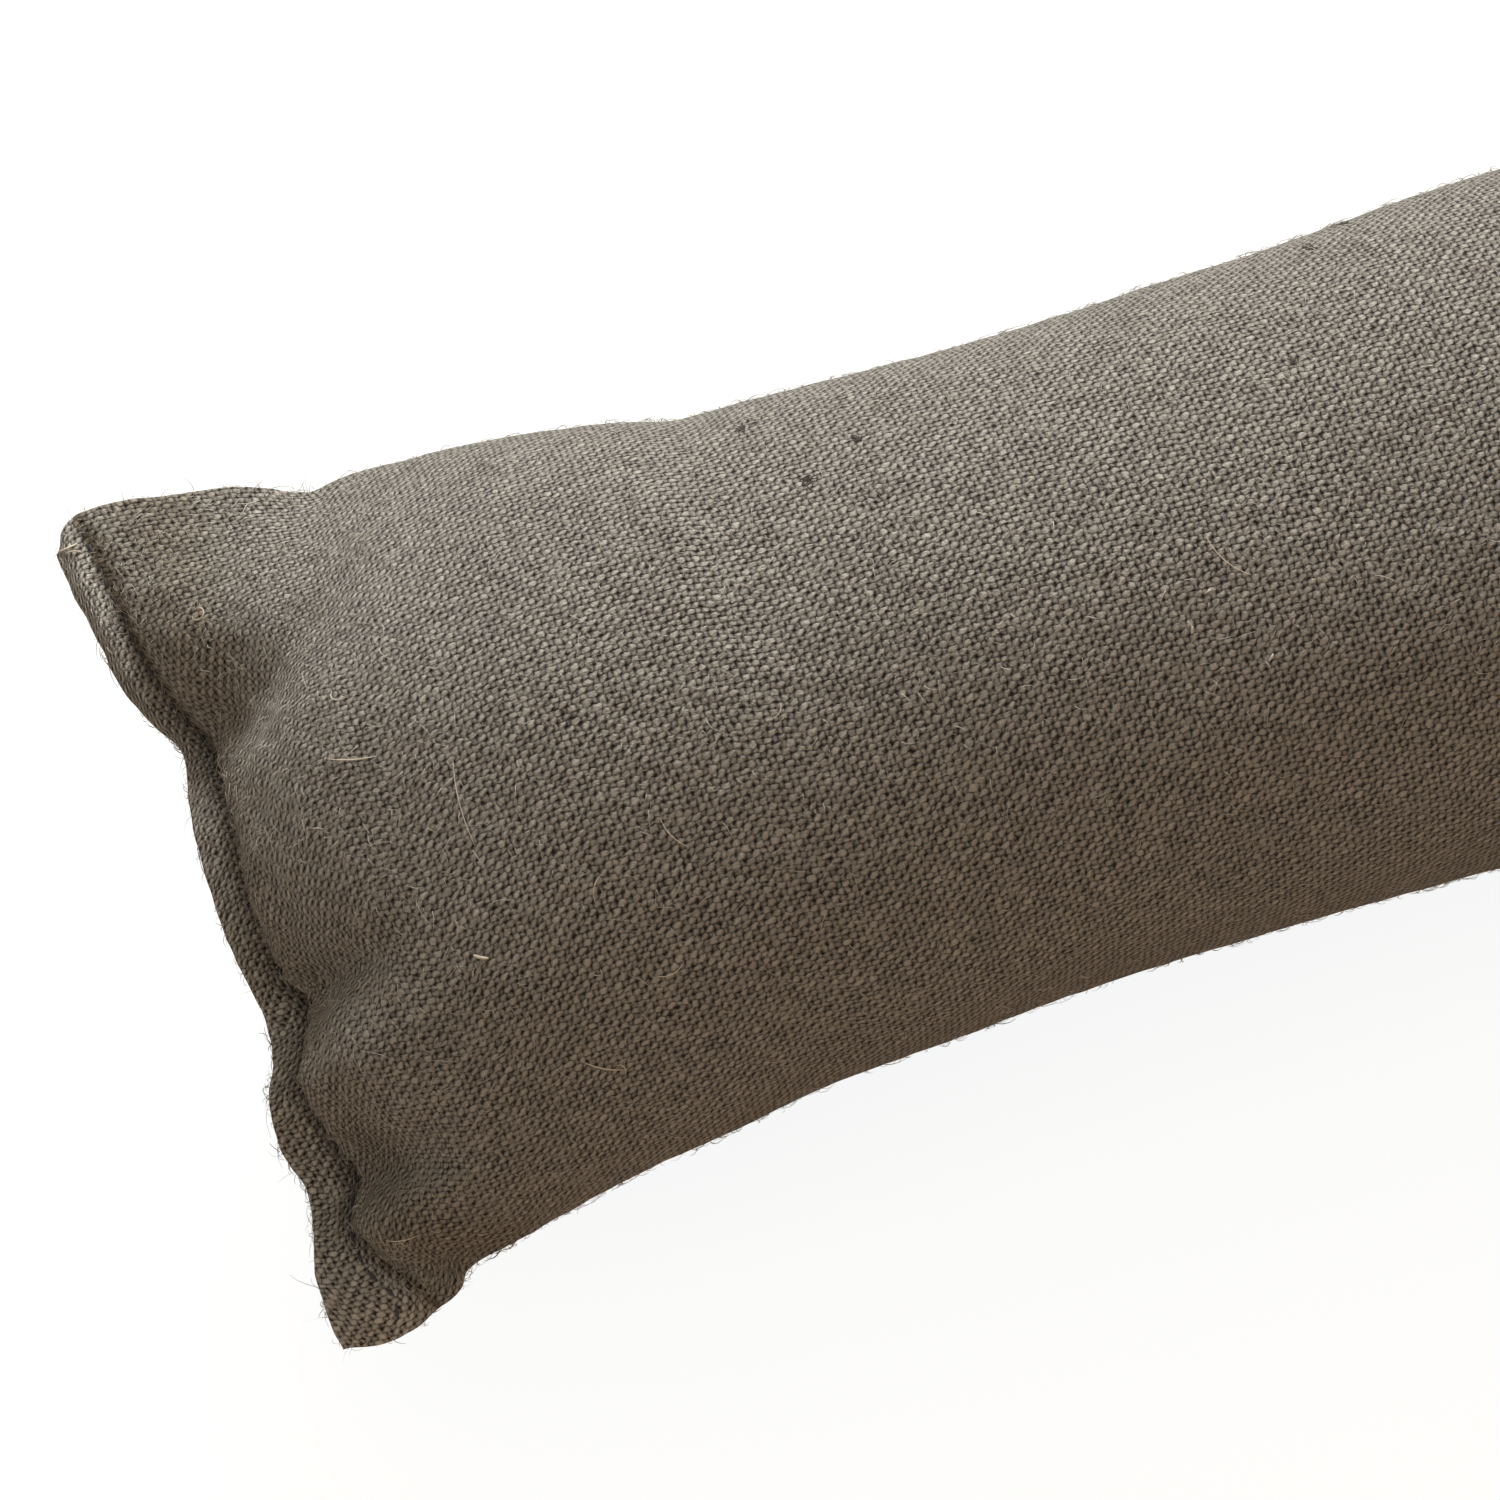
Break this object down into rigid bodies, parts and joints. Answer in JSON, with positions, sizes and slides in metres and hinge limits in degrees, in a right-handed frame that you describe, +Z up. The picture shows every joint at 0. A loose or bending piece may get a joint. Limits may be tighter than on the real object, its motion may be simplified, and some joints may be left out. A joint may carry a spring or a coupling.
{
  "type": "draught excluder",
  "caption": "Long stuffed cloth tube with flat stitched ends that lies along the foot of a door to stop draughts.",
  "frame": {"origin": "on the floor under the middle of the tube's bounding box", "axes": "+X along the tube, +Y across it, +Z up; the end that the picture shows faces -X"},
  "size_m": [0.9, 0.1832, 0.1191],
  "materials": {
    "cloth": "coarse plain weave, matt, grey brown"
  },
  "bodies": {
    "root": {"cover": "cloth"}
  },
  "joints": []
}
